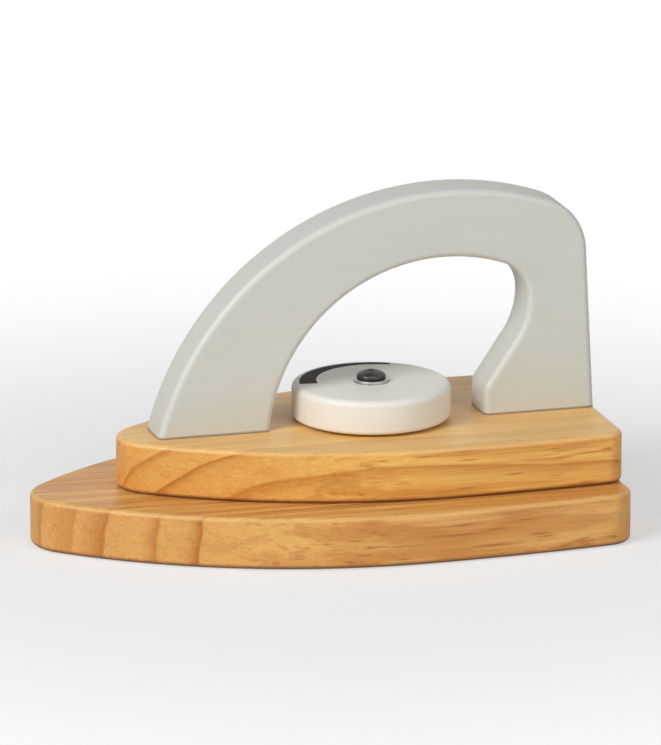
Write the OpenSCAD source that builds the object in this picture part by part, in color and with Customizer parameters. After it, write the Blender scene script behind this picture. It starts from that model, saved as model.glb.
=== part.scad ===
// Wooden toy iron: two stacked pine boards, a painted arch handle and a dial that turns on a screw.
// The nose points along -X, +Z is up, and the origin is under the middle of the sole, in millimetres.
// Lengths build up from the inside: the dial sets the gap between the handle's feet, the handle sets the
// top plate, and the top plate sets the sole.

/* [Sole plate] */
// How far the sole's nose stands in front of the top plate's
sole_nose_step = 21; // [12:0.5:30]
// How far the sole stands out beside the top plate, at their widest places
sole_side_step = 10; // [6:0.5:14]
// How far each side of the sole draws in from its widest place to the back edge
sole_taper = 3.5; // [1:0.25:6]
// Distance from the back edge to the widest place of the sole
sole_widest = 53; // [40:1:70]
// Radius of the sole's nose
sole_nose_radius = 12; // [8:0.5:18]
// Radius of the sole's back corners, seen from above
sole_corner_radius = 7; // [4:0.5:12]
// Thickness of the sole
sole_thickness = 12.5; // [10:0.5:18]

/* [Top plate] */
// Greatest width of the top plate
top_width = 63; // [52:1:74]
// How far each side of the top plate draws in from its widest place to the back edge
top_taper = 2; // [0.5:0.25:4]
// Distance from the back edge to the widest place of the top plate
top_widest = 43; // [30:1:55]
// Radius of the top plate's nose
top_nose_radius = 10; // [6:0.5:15]
// Radius of the top plate's back corners, seen from above
top_corner_radius = 5; // [4:0.5:10]
// Thickness of the top plate
top_thickness = 12.5; // [10:0.5:18]
// Radius of the rounded-over edges of both plates
plate_edge_radius = 1.25; // [0.75:0.25:3]

/* [Handle] */
// Thickness of the handle board
handle_thickness = 12; // [9:0.5:16]
// Height of the handle above the top plate
handle_height = 56; // [50:1:66]
// How far the handle's front end stands behind the top plate's nose
handle_front_step = 8.5; // [6:0.5:16]
// How far the handle's rear end stands in front of the top plate's back edge
handle_back_step = 0.5; // [0.25:0.25:4]
// Radius of the long sweep from the front foot over the top
handle_sweep_radius = 74.5; // [68:0.5:82]
// Radius of the handle's upper rear corner
handle_corner_radius = 14; // [10:0.5:18]
// Forward lean of the rear edge, in degrees
handle_lean = 3; // [0:0.5:6]
// Radius of the rounded edges of the handle board
handle_edge_radius = 1.5; // [0.75:0.25:4]
// Length of the front foot on the plate
front_foot_length = 27.5; // [23:0.5:34]
// Length of the rear foot on the plate
rear_foot_length = 27.5; // [25:0.5:34]
// Depth of the grip from the top of the handle to the opening
grip_depth = 16.5; // [13:0.5:20]
// Width of the rear leg at its narrowest
rear_leg_width = 15.25; // [13:0.25:18]
// Radius of the opening's long front and upper curve
opening_sweep_radius = 43.5; // [40:0.5:48]
// Radius of the opening's upper rear end
opening_end_radius = 9; // [6:0.5:11]
// Radius of the opening's rear side, from that end down to the slanting edge
opening_rear_radius = 18; // [13:0.5:22]
// Slant of the rear leg's inner edge below that side, in degrees from upright
rear_leg_slant = 34; // [28:1:40]
// Radius of the bend between the slanting edge and the upright end of the rear foot
rear_foot_bend_radius = 5; // [3:0.5:8]

/* [Dial] */
// Diameter of the dial
dial_diameter = 38; // [32:0.5:44]
// Height of the dial's disc
dial_height = 8.25; // [7:0.25:11]
// Radius of the dial's upper edge
dial_edge_radius = 1.6; // [0.8:0.1:2.4]
// Radius of the dial's lower edge
dial_lower_radius = 1; // [0.4:0.1:1.6]
// Gap between the dial and the top plate
dial_gap = 0.7; // [0.4:0.1:0.9]
// Gap between the dial and each foot of the handle
dial_side_gap = 7.5; // [5:0.25:10]

/* [Fasteners] */
// Diameter of the dial screw's shank
dial_screw_diameter = 4; // [3:0.25:5]
// Wood left below the dial screw's hole in the top plate
dial_screw_cover = 3; // [2:0.5:5]
// Diameter of the dial screw's pan head
dial_screw_head_diameter = 7; // [6:0.1:8.5]
// Height of the dial screw's pan head
dial_screw_head_height = 2; // [1.6:0.1:2.8]
// Diameter of the washer under the screw head
head_washer_diameter = 8.5; // [8:0.1:12]
// Thickness of the washer under the screw head
head_washer_thickness = 0.8; // [0.4:0.1:1.2]
// Diameter of the washer under the dial
base_washer_diameter = 16; // [12:0.5:20]
// Thickness of the washer under the dial
base_washer_thickness = 1.2; // [1:0.1:1.6]
// Diameter of the handle screws' shanks
handle_screw_diameter = 4; // [3:0.25:5]
// Diameter of the handle screws' countersunk heads
handle_screw_head_diameter = 8; // [7:0.25:10]
// Length of the handle screws in the feet
handle_screw_grip = 18; // [12:0.5:20]
// Distance from the front end of the handle to its front screw
front_screw_inset = 16; // [13:0.5:18]
// Distance from the rear end of the handle to its rear screw
rear_screw_inset = 14.5; // [12:0.5:16]
// Diameter of the plate dowels
dowel_diameter = 8; // [6:0.5:10]
// Wood left beyond each end of the dowels' holes
dowel_cover = 5; // [3:0.5:7]
// Distance from the dial's axis to each dowel's axis
dowel_spread = 21; // [14:0.5:25]

/* [Fits] */
// Radial clearance of the turning dial on its screw
running_clearance = 0.08; // [0.04:0.01:0.1]
// Radial clearance of screws and dowels in their holes
glue_clearance = 0.05; // [0.03:0.01:0.1]
// Radial clearance of the washers around the screw
washer_clearance = 0.2; // [0.1:0.05:0.4]
// Space left beyond the end of each screw and dowel in its blind hole
hole_end_space = 0.5; // [0.3:0.1:1]
// Radial space between the base washer and the recess under the dial
recess_clearance = 0.5; // [0.4:0.1:0.8]

/* [Smoothness] */
// Steps along each rounded edge's quarter circle
edge_steps = 5; // [3:1:8]
// Steps along each back corner of the plates
corner_steps = 10; // [4:1:16]
// Steps along each plate's rear side, behind the widest place
rear_steps = 6; // [3:1:12]
// Steps along each plate's front side
side_steps = 16; // [8:1:24]
// Steps along each half of a plate's nose
nose_steps = 12; // [6:1:20]
// Steps along the bend of the rear foot
bend_steps = 6; // [3:1:10]
// Steps along the rear side of the handle's opening
rear_side_steps = 8; // [4:1:16]
// Steps along the handle's rear corner and the opening's end
end_steps = 16; // [8:1:24]
// Steps along the long sweeps of the handle and its opening
sweep_steps = 32; // [16:1:48]
// Sides of a full turn of the dial, washers, screws and dowels
round_steps = 96; // [48:8:128]

/* [Hidden] */
$fn = round_steps;

pine = "burlywood";
paint = "lightgray";
cream = "linen";
steel = "silver";
dark_steel = "dimgray";
brass = "khaki";
beech = "wheat";

// A cut starts and ends this far outside the face that it opens
over = 1;

// Heights of the stack
seam_z = sole_thickness;
deck_z = sole_thickness + top_thickness;
dial_z = deck_z + dial_gap;
dial_top_z = dial_z + dial_height;
screw_head_z = dial_top_z + head_washer_thickness;

// Lengths and widths, from the dial outwards
gap_length = dial_diameter + 2 * dial_side_gap;
handle_length = front_foot_length + gap_length + rear_foot_length;
top_length = handle_front_step + handle_length + handle_back_step;
sole_length = sole_nose_step + top_length;
sole_width = top_width + 2 * sole_side_step;

// Places along the length; both plates end at the same back edge
back_x = sole_length / 2;
handle_rear_x = back_x - handle_back_step;
handle_front_x = handle_rear_x - handle_length;
gap_front_x = handle_front_x + front_foot_length;
gap_rear_x = handle_rear_x - rear_foot_length;
dial_x = (gap_front_x + gap_rear_x) / 2;
front_screw_x = handle_front_x + front_screw_inset;
rear_screw_x = handle_rear_x - rear_screw_inset;
front_dowel_x = dial_x - dowel_spread;
rear_dowel_x = dial_x + dowel_spread;

// Blind holes: the dowels' run from one plate into the other, the dial screw's from the deck down
dowel_hole_z = dowel_cover;
dowel_hole_top_z = deck_z - dowel_cover;
dial_hole_z = seam_z + dial_screw_cover;

// Points and outward normals of a curve, each as [x, y, normal x, normal y]

// Arc about a centre from angle a to angle b; side is -1 where the outline's outside is towards the centre
function arc(centre, radius, a, b, count, side = 1) =
    [for (i = [0 : count])
        let (t = a + (b - a) * i / count)
        [centre.x + radius * cos(t), centre.y + radius * sin(t), side * cos(t), side * sin(t)]];

// The same curve mirrored in the X axis and run backwards
function mirrored(curve) =
    [for (i = [len(curve) - 1 : -1 : 0]) [curve[i][0], -curve[i][1], curve[i][2], -curve[i][3]]];

// A curve without its first point, which the curve before it already has
function rest(curve) = [for (i = [1 : len(curve) - 1]) curve[i]];

// Iron-shaped outline: nose arc, long side arc to the widest place, flat rear arc, and a back corner
function plate_outline(length, width, taper, widest, nose_r, corner_r) =
    let (half = width / 2,
         wide_x = back_x - widest,
         nose_x = back_x - length + nose_r,
         run = wide_x - nose_x,
         side_r = (run * run + half * half - nose_r * nose_r) / (2 * (half - nose_r)),
         nose_turn = atan2(side_r - half, run),
         rear_r = (widest * widest + taper * taper) / (2 * taper),
         corner_x = back_x - corner_r,
         corner_run = corner_x - wide_x,
         corner_y = half - rear_r + sqrt(pow(rear_r - corner_r, 2) - corner_run * corner_run),
         corner_turn = atan2(corner_y - half + rear_r, corner_run),
         half_outline = concat(
             arc([corner_x, corner_y], corner_r, 0, corner_turn, corner_steps),
             rest(arc([wide_x, half - rear_r], rear_r, corner_turn, 90, rear_steps)),
             rest(arc([wide_x, half - side_r], side_r, 90, 180 - nose_turn, side_steps)),
             rest(arc([nose_x, 0], nose_r, 180 - nose_turn, 180, nose_steps))))
    concat(half_outline, rest(mirrored(half_outline)));

// Insets and heights up the rounded side of a board of a given thickness
function board_profile(thickness, edge_r) =
    concat([for (i = [0 : edge_steps])
                let (t = 90 * i / edge_steps)
                [edge_r * (1 - sin(t)), edge_r * (1 - cos(t))]],
           [for (i = [0 : edge_steps])
                let (t = 90 * i / edge_steps)
                [edge_r * (1 - cos(t)), thickness - edge_r * (1 - sin(t))]]);

// Flat side of a convex outline, as one face
function whole_cap(outline) = [[for (i = [0 : len(outline) - 1]) i]];

// Flat side of an outline whose two halves run side by side, as a strip of triangles between them
function strip_cap(outline) =
    let (last = len(outline) - 1)
    [for (i = [0 : (last - 1) / 2 - 1])
        each [[i, i + 1, last - i - 1], [i, last - i - 1, last - i]]];

// Board with rounded-over edges, lofted through its outline's insets; cap holds the faces of its flat side
module rounded_board(outline, cap, thickness, edge_r) {
    profile = board_profile(thickness, edge_r);
    count = len(outline);
    top_ring = (len(profile) - 1) * count;
    points = [for (ring = profile, p = outline) [p[0] - ring[0] * p[2], p[1] - ring[0] * p[3], ring[1]]];
    roof = [for (face = cap) [for (i = [len(face) - 1 : -1 : 0]) top_ring + face[i]]];
    sides = [for (r = [0 : len(profile) - 2], i = [0 : count - 1])
                let (a = r * count + i, b = r * count + (i + 1) % count)
                each [[a, a + count, b], [b, a + count, b + count]]];
    polyhedron(points, concat(cap, roof, sides), convexity = 6);
}

// Iron-shaped board lying flat
module plate_board(outline, thickness) {
    rounded_board(outline, whole_cap(outline), thickness, plate_edge_radius);
}

// Round rod, or the hole for one, upright from one height to another
module rod(x, diameter, from_z, to_z) {
    translate([x, 0, from_z]) cylinder(d = diameter, h = to_z - from_z);
}

// Countersunk screw head, or the seat for one, widest at its lower end
module countersink(x, z, head_d, shank_d) {
    translate([x, 0, z]) cylinder(d1 = head_d, d2 = shank_d, h = (head_d - shank_d) / 2);
}

// Holes of the two dowels, as deep in each plate as their cover allows
module dowel_holes() {
    for (x = [front_dowel_x, rear_dowel_x])
        rod(x, dowel_diameter + 2 * glue_clearance, dowel_hole_z, dowel_hole_top_z);
}

// Sweep of the handle's outside, from the front foot to the rear corner
sweep_z = handle_height - handle_sweep_radius;
sweep_x = handle_front_x + sqrt(pow(handle_sweep_radius, 2) - sweep_z * sweep_z);
sweep_centre = [sweep_x, sweep_z];

// The rear edge leans forward: unit vector up along it, and its outward normal
rear_up = [-sin(handle_lean), cos(handle_lean)];
rear_out = [cos(handle_lean), sin(handle_lean)];
rear_foot = [handle_rear_x, 0];

// Centre of an arc that lies a distance inside the rear edge and a distance from another centre
function inside_rear(distance, centre, reach) =
    let (base = rear_foot - distance * rear_out,
         along = (centre - base) * rear_up,
         off = (centre - base) * rear_out)
    base + (along + sqrt(reach * reach - off * off)) * rear_up;

corner_centre = inside_rear(handle_corner_radius, sweep_centre, handle_sweep_radius - handle_corner_radius);
corner_start = atan2(corner_centre.y - sweep_z, corner_centre.x - sweep_x);

// Sweep of the opening, and the small arc that closes it at the upper rear
opening_z = handle_height - grip_depth - opening_sweep_radius;
opening_x = gap_front_x + sqrt(pow(opening_sweep_radius, 2) - opening_z * opening_z);
opening_centre = [opening_x, opening_z];
end_centre = inside_rear(rear_leg_width + opening_end_radius, opening_centre,
                         opening_sweep_radius - opening_end_radius);
end_start = atan2(end_centre.y - opening_z, end_centre.x - opening_x);

// A wider arc carries the opening on from the narrowest place of the rear leg, and from there a slanting
// edge runs down to the bend above the rear foot
side_centre = end_centre - (opening_rear_radius - opening_end_radius) * rear_out;
bend_x = gap_rear_x + rear_foot_bend_radius;
bend_z = side_centre.y - (opening_rear_radius + rear_foot_bend_radius
                          - (bend_x - side_centre.x) * cos(rear_leg_slant)) / sin(rear_leg_slant);
bend_centre = [bend_x, bend_z];

// The legs of the lofted board run this far below the deck, where they are sawn off flat
leg_overrun = 12;

// Points up the straight rear edge, one for each point of the bend and of the wider arc opposite
edge_count = bend_steps + rear_side_steps;
edge_height = (corner_centre - rear_foot) * rear_up;
rear_edge = [for (i = [0 : edge_count])
                let (place = rear_foot + edge_height * i / (edge_count + 1) * rear_up)
                [place.x, place.y, rear_out.x, rear_out.y]];

// Outline of the handle in X and height above the deck: the outside from the rear foot to the front foot,
// then the inside back again, with as many points
handle_outline = concat(
    [[handle_rear_x, -leg_overrun, rear_out.x, rear_out.y]],
    rear_edge,
    arc(corner_centre, handle_corner_radius, handle_lean, corner_start, end_steps),
    rest(arc(sweep_centre, handle_sweep_radius, corner_start,
             180 + asin(sweep_z / handle_sweep_radius), sweep_steps)),
    [[handle_front_x, -leg_overrun, -1, 0]],
    [[gap_front_x, -leg_overrun, 1, 0]],
    arc(opening_centre, opening_sweep_radius, 180 + asin(opening_z / opening_sweep_radius), end_start,
        sweep_steps, -1),
    rest(arc(end_centre, opening_end_radius, end_start, handle_lean, end_steps, -1)),
    rest(arc(side_centre, opening_rear_radius, handle_lean, -rear_leg_slant, rear_side_steps, -1)),
    arc(bend_centre, rear_foot_bend_radius, 180 - rear_leg_slant, 180, bend_steps),
    [[gap_rear_x, -leg_overrun, -1, 0]]);

module sole_plate() {
    color(pine)
    difference() {
        plate_board(plate_outline(sole_length, sole_width, sole_taper, sole_widest, sole_nose_radius,
                                  sole_corner_radius),
                    sole_thickness);
        dowel_holes();
    }
}

module top_plate() {
    screw_hole_d = handle_screw_diameter + 2 * glue_clearance;
    screw_seat_d = handle_screw_head_diameter + 2 * glue_clearance;
    color(pine)
    difference() {
        translate([0, 0, seam_z])
            plate_board(plate_outline(top_length, top_width, top_taper, top_widest, top_nose_radius,
                                      top_corner_radius),
                        top_thickness);
        dowel_holes();
        for (x = [front_screw_x, rear_screw_x]) {
            rod(x, screw_hole_d, seam_z - over, deck_z + over);
            countersink(x, seam_z, screw_seat_d, screw_hole_d);
        }
        rod(dial_x, dial_screw_diameter + 2 * glue_clearance, dial_hole_z, deck_z + over);
    }
}

module handle() {
    color(paint)
    difference() {
        translate([0, handle_thickness / 2, deck_z])
            rotate([90, 0, 0])
                rounded_board(handle_outline, strip_cap(handle_outline), handle_thickness, handle_edge_radius);
        translate([handle_front_x - leg_overrun, -handle_thickness, deck_z - 2 * leg_overrun])
            cube([handle_length + 2 * leg_overrun, 2 * handle_thickness, 2 * leg_overrun]);
        for (x = [front_screw_x, rear_screw_x])
            rod(x, handle_screw_diameter + 2 * glue_clearance, deck_z - over,
                deck_z + handle_screw_grip + hole_end_space);
    }
}

// Half section of the dial, turned about its axis
module dial_section() {
    outer_r = dial_diameter / 2;
    bore_r = dial_screw_diameter / 2 + running_clearance;
    recess_r = base_washer_diameter / 2 + recess_clearance;
    recess_depth = base_washer_thickness - dial_gap;
    difference() {
        union() {
            translate([0, dial_lower_radius])
                square([outer_r, dial_height - dial_lower_radius - dial_edge_radius]);
            square([outer_r - dial_lower_radius, dial_lower_radius]);
            translate([0, dial_height - dial_edge_radius])
                square([outer_r - dial_edge_radius, dial_edge_radius]);
            translate([outer_r - dial_lower_radius, dial_lower_radius]) circle(r = dial_lower_radius);
            translate([outer_r - dial_edge_radius, dial_height - dial_edge_radius]) circle(r = dial_edge_radius);
        }
        translate([-over, -over]) square([bore_r + over, dial_height + 2 * over]);
        translate([-over, -over]) square([recess_r + over, recess_depth + over]);
    }
}

module dial() {
    color(cream)
    translate([dial_x, 0, dial_z])
        rotate_extrude() dial_section();
}

// Pan-head screw: shank up through the washers and the dial, and a rounded head
module dial_screw() {
    head_r = dial_screw_head_diameter / 2;
    crown_r = dial_screw_head_height / 2;
    color(dark_steel) {
        rod(dial_x, dial_screw_diameter, dial_hole_z + hole_end_space, screw_head_z + crown_r);
        translate([dial_x, 0, screw_head_z])
            rotate_extrude() {
                square([head_r, dial_screw_head_height - crown_r]);
                square([head_r - crown_r, dial_screw_head_height]);
                intersection() {
                    translate([head_r - crown_r, dial_screw_head_height - crown_r]) circle(r = crown_r);
                    square([head_r, dial_screw_head_height]);
                }
            }
    }
}

// Flat ring around the dial screw
module washer(z, diameter, thickness) {
    translate([dial_x, 0, z])
        difference() {
            cylinder(d = diameter, h = thickness);
            translate([0, 0, -over])
                cylinder(d = dial_screw_diameter + 2 * washer_clearance, h = thickness + 2 * over);
        }
}

module dial_head_washer() {
    color(steel) washer(dial_top_z, head_washer_diameter, head_washer_thickness);
}

module dial_base_washer() {
    color(brass) washer(deck_z, base_washer_diameter, base_washer_thickness);
}

// Countersunk wood screw, driven upwards from the seam
module handle_screw(x) {
    head_height = (handle_screw_head_diameter - handle_screw_diameter) / 2;
    color(steel) {
        countersink(x, seam_z, handle_screw_head_diameter, handle_screw_diameter);
        rod(x, handle_screw_diameter, seam_z + head_height / 2, deck_z + handle_screw_grip);
    }
}

module front_handle_screw() {
    handle_screw(front_screw_x);
}

module rear_handle_screw() {
    handle_screw(rear_screw_x);
}

// Plain beech dowel across the seam
module plate_dowel(x) {
    color(beech)
    rod(x, dowel_diameter, dowel_hole_z + hole_end_space, dowel_hole_top_z - hole_end_space);
}

module front_plate_dowel() {
    plate_dowel(front_dowel_x);
}

module rear_plate_dowel() {
    plate_dowel(rear_dowel_x);
}

sole_plate();
top_plate();
handle();
dial();
dial_screw();
dial_head_washer();
dial_base_washer();
front_handle_screw();
rear_handle_screw();
front_plate_dowel();
rear_plate_dowel();
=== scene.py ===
# %% [markdown]
# # A wooden toy iron
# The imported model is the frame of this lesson: two pine boards, a painted handle, a dial on a screw, and the
# hidden washers, screws and dowels, all in metres and all in place. It is loaded first and never moved. The
# lesson then dresses each piece: a finer mesh where light would show the frame's facets, and a finish made of
# nodes.

# %% Load the frame
import math

import bmesh
import bpy
from mathutils import Matrix, Vector


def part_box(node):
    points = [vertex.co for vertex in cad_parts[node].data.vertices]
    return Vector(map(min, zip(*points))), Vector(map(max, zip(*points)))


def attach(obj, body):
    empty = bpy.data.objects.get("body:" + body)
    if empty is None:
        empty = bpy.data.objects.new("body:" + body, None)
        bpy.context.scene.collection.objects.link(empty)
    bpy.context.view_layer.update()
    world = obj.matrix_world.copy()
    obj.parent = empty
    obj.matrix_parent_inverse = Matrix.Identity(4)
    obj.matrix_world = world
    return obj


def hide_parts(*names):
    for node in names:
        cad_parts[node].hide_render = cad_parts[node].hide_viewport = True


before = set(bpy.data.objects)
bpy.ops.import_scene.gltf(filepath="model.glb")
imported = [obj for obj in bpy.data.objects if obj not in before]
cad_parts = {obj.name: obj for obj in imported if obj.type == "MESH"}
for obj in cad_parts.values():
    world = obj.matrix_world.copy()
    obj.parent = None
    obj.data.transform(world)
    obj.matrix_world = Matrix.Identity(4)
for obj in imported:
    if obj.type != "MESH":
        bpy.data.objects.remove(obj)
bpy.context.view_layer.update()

MM = 0.001

# %% [markdown]
# Sizes come from the frame wherever a box can give them: the heights of the stack, the lengths of the boards,
# the axis of the dial. Radii and slopes can't be read from a box, so they are repeated in millimetres, each
# one where it is first needed.

# %% Read the stack from the frame
def box_mm(node):
    """Lowest and highest corner of a node, in millimetres."""
    low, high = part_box(node)
    return low / MM, high / MM


def round_mm(node):
    """Axis, radius, lowest height and length of a round upright node, in millimetres."""
    low, high = box_mm(node)
    return (low.x + high.x) / 2, (high.x - low.x) / 2, low.z, high.z - low.z


sole_low, sole_high = box_mm("sole_plate")
top_low, top_high = box_mm("top_plate")
handle_low, handle_high = box_mm("handle")
DECK = top_high.z
DIAL_X, DIAL_R, DIAL_Z, DIAL_TALL = round_mm("dial")
print("deck at %.1f mm, dial axis at x %.2f mm" % (DECK, DIAL_X))

# %% [markdown]
# Geometry Nodes and shader nodes are both trees of nodes joined by links. A few short helpers keep the trees
# readable: `add` makes a node and fills its sockets, where a socket takes either a value or a link, and the
# others are the small sums that every tree needs.

# %% Helpers for node trees
def add(tree, kind, sockets=None, **settings):
    """A new node; sockets maps an input's name or index to a value or to another node's output."""
    node = tree.nodes.new(kind)
    for key, value in settings.items():
        setattr(node, key, value)
    for key, value in (sockets or {}).items():
        if isinstance(value, bpy.types.NodeSocket):
            tree.links.new(value, node.inputs[key])
        else:
            node.inputs[key].default_value = value
    return node


def calc(tree, operation, *values):
    """Result of a Math node."""
    return add(tree, "ShaderNodeMath", dict(enumerate(values)), operation=operation).outputs[0]


def product(tree, level, *others):
    """Several levels multiplied."""
    for other in others:
        level = calc(tree, "MULTIPLY", level, other)
    return level


def vector(tree, operation, *values):
    """Result of a Vector Math node; LENGTH gives a number, and SCALE takes its factor second."""
    sockets = {0: values[0], 3: values[1]} if operation == "SCALE" else dict(enumerate(values))
    node = add(tree, "ShaderNodeVectorMath", sockets, operation=operation)
    return node.outputs["Value" if operation == "LENGTH" else "Vector"]


def xyz(tree, place):
    """The parts of a vector, by the names X, Y and Z."""
    return add(tree, "ShaderNodeSeparateXYZ", {0: place}).outputs


def span(tree, level, low, high, out_low=0.0, out_high=1.0, ease="SMOOTHSTEP"):
    """Level from low to high, as an amount from out_low to out_high."""
    return add(tree, "ShaderNodeMapRange", {0: level, 1: low, 2: high, 3: out_low, 4: out_high},
               interpolation_type=ease).outputs[0]


print("node helpers ready")

# %% [markdown]
# ## Shapes
# The toy is all boards and turned pieces. Each could be modelled by hand, but one Geometry Nodes tree with
# other numbers makes several of them. Every tree here starts and ends in the same way: it takes a geometry,
# some named sizes and a finish, and it ends with real geometry that has the finish on it.

# %% Start and end of a Geometry Nodes tree
WELD = 0.01 * MM


def geometry_tree(name, numbers, counts):
    """New tree with named numbers and counts as inputs, and the outputs that hand them out."""
    tree = bpy.data.node_groups.new(name, "GeometryNodeTree")
    inputs = ([("Geometry", "NodeSocketGeometry")] + [(label, "NodeSocketFloat") for label in numbers]
              + [(label, "NodeSocketInt") for label in counts] + [("Finish", "NodeSocketMaterial")])
    for label, kind in inputs:
        tree.interface.new_socket(label, in_out="INPUT", socket_type=kind)
    tree.interface.new_socket("Geometry", in_out="OUTPUT", socket_type="NodeSocketGeometry")
    return tree, add(tree, "NodeGroupInput").outputs


def end_tree(tree, geometry, material):
    """The tree, closed by Realize Instances and Set Material."""
    real = add(tree, "GeometryNodeRealizeInstances", {"Geometry": geometry}).outputs[0]
    done = add(tree, "GeometryNodeSetMaterial", {"Geometry": real, "Material": material}).outputs[0]
    add(tree, "NodeGroupOutput", {"Geometry": done})
    print("%s: %d nodes" % (tree.name, len(tree.nodes)))
    return tree


def moved(tree, geometry, **where):
    """Geometry with a new Position or an Offset."""
    return add(tree, "GeometryNodeSetPosition", {"Geometry": geometry, **where}).outputs[0]


def shaded(tree, geometry, smooth):
    """Geometry with smooth or flat faces."""
    return add(tree, "GeometryNodeSetShadeSmooth", {"Geometry": geometry, "Shade Smooth": smooth}).outputs[0]


def welded(tree, geometry):
    """Geometry with the points that lie on each other made one."""
    return add(tree, "GeometryNodeMergeByDistance", {"Geometry": geometry, "Distance": WELD}).outputs[0]


print("trees weld points closer than %.2f mm" % (WELD / MM))

# %% [markdown]
# Each board is sawn to an outline, and then a router with a round-over bit runs along the edge. The first
# tree does the same: it takes the outline as a loop of edges, sweeps the rounded side along it, and closes
# the two flat faces. A Bevel modifier on an extruded outline could do it too, but here the section of the
# edge is drawn exactly, whatever the outline is. The tree makes the sole, the top plate and the handle.

# %% Geometry Nodes: the rounded side of a board
def pick(tree, condition, no, yes):
    """One of two numbers."""
    return add(tree, "GeometryNodeSwitch", {"Switch": condition, "False": no, "True": yes},
               input_type="FLOAT").outputs[0]


def board_side(tree, thickness, radius, steps):
    """Section of a board's side: a quarter circle at the lower edge, then one at the upper edge."""
    corner = calc(tree, "ADD", steps, 1)
    line = add(tree, "GeometryNodeMeshLine", {"Count": calc(tree, "MULTIPLY", corner, 2)}).outputs[0]
    index = add(tree, "GeometryNodeInputIndex").outputs[0]
    upper = calc(tree, "GREATER_THAN", index, steps)
    own = calc(tree, "SUBTRACT", index, calc(tree, "MULTIPLY", upper, corner))
    swing = calc(tree, "MULTIPLY", calc(tree, "DIVIDE", own, steps), math.pi / 2)
    by_sine = calc(tree, "MULTIPLY", radius, calc(tree, "SUBTRACT", 1, calc(tree, "SINE", swing)))
    by_cosine = calc(tree, "MULTIPLY", radius, calc(tree, "SUBTRACT", 1, calc(tree, "COSINE", swing)))
    inset = pick(tree, upper, by_sine, by_cosine)
    height = pick(tree, upper, by_cosine, calc(tree, "SUBTRACT", thickness, by_sine))
    place = add(tree, "ShaderNodeCombineXYZ", {"X": calc(tree, "MULTIPLY", inset, -1),
                                               "Y": calc(tree, "MULTIPLY", height, -1)}).outputs[0]
    return add(tree, "GeometryNodeMeshToCurve", {"Mesh": moved(tree, line, Position=place)}).outputs[0]


print("side of a board: two quarter circles and a straight")

# %% Geometry Nodes: a board with rounded edges
def rounded_board_tree():
    """Tree that makes a board from its outline."""
    tree, given = geometry_tree("rounded_board", ("Thickness", "Edge radius"), ("Edge steps",))
    thickness, radius = given["Thickness"], given["Edge radius"]
    loop = add(tree, "GeometryNodeMeshToCurve", {"Mesh": given["Geometry"]}).outputs[0]
    path = add(tree, "GeometryNodeSetCurveNormal", {"Curve": loop}, mode="Z_UP").outputs[0]
    side = board_side(tree, thickness, radius, given["Edge steps"])
    sweep = add(tree, "GeometryNodeCurveToMesh", {"Curve": path, "Profile Curve": side}).outputs[0]

    outward = add(tree, "GeometryNodeInputNormal").outputs[0]
    drawn_in = moved(tree, path, Offset=vector(tree, "SCALE", outward, calc(tree, "MULTIPLY", radius, -1)))
    face = add(tree, "GeometryNodeFillCurve", {"Curve": drawn_in}, mode="NGONS").outputs[0]
    flat = shaded(tree, face, False)
    roof = moved(tree, flat, Offset=add(tree, "ShaderNodeCombineXYZ", {"Z": thickness}).outputs[0])
    under = add(tree, "GeometryNodeFlipFaces", {"Mesh": flat}).outputs[0]

    joined = add(tree, "GeometryNodeJoinGeometry")
    for part in (shaded(tree, sweep, True), roof, under):
        tree.links.new(part, joined.inputs[0])
    return end_tree(tree, welded(tree, joined.outputs[0]), given["Finish"])


ROUNDED_BOARD = rounded_board_tree()

# %% [markdown]
# The dial, the washers, the screws and the dowels are turned on a lathe, so each is half a section swept
# round an axis. A Screw modifier could turn it as well. The second tree is chosen because it also keeps an
# edge crisp where two faces of the section meet at an angle.

# %% Geometry Nodes: a turned piece
def turned_piece_tree():
    """Tree that turns a section about an upright axis."""
    tree, given = geometry_tree("turned_piece", ("Crisp angle",), ("Steps",))
    path_radius = 10 * MM
    circle = add(tree, "GeometryNodeCurvePrimitiveCircle",
                 {"Resolution": given["Steps"], "Radius": path_radius})
    path = add(tree, "GeometryNodeSetCurveNormal", {"Curve": circle.outputs["Curve"]}, mode="Z_UP").outputs[0]
    point = xyz(tree, add(tree, "GeometryNodeInputPosition").outputs[0])
    place = add(tree, "ShaderNodeCombineXYZ", {"X": calc(tree, "SUBTRACT", point["X"], path_radius),
                                               "Y": calc(tree, "MULTIPLY", point["Y"], -1)}).outputs[0]
    section = moved(tree, given["Geometry"], Position=place)
    outline = add(tree, "GeometryNodeMeshToCurve", {"Mesh": section}).outputs[0]
    sweep = add(tree, "GeometryNodeCurveToMesh", {"Curve": path, "Profile Curve": outline}).outputs[0]
    smooth = shaded(tree, welded(tree, sweep), True)
    angle = add(tree, "GeometryNodeInputMeshEdgeAngle").outputs["Unsigned Angle"]
    crisp = calc(tree, "GREATER_THAN", angle, given["Crisp angle"])
    edged = add(tree, "GeometryNodeSetShadeSmooth",
                {"Geometry": smooth, "Selection": crisp, "Shade Smooth": False}, domain="EDGE").outputs[0]
    return end_tree(tree, edged, given["Finish"])


TURNED_PIECE = turned_piece_tree()

# %% [markdown]
# A tree is used through a modifier. `through_tree` hangs the tree on a mesh, sets the inputs by their
# identifiers, takes the evaluated result as a plain mesh and turns all its faces outwards. The modifier could
# be left on, but a plain mesh is what another program can open. `grow` does all that to a loop of points and
# moves the result to its place.

# %% From a mesh through a tree
FINE_WELD = 0.001 * MM


def put(name, data):
    """New object in the scene."""
    made = bpy.data.objects.new(name, data)
    bpy.context.scene.collection.objects.link(made)
    return made


def evaluated(thing):
    """Plain mesh that an object's modifier makes; the modifier is then removed."""
    bpy.context.view_layer.update()
    made = bpy.data.meshes.new_from_object(thing.evaluated_get(bpy.context.evaluated_depsgraph_get()))
    thing.modifiers.clear()
    return made


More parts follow.
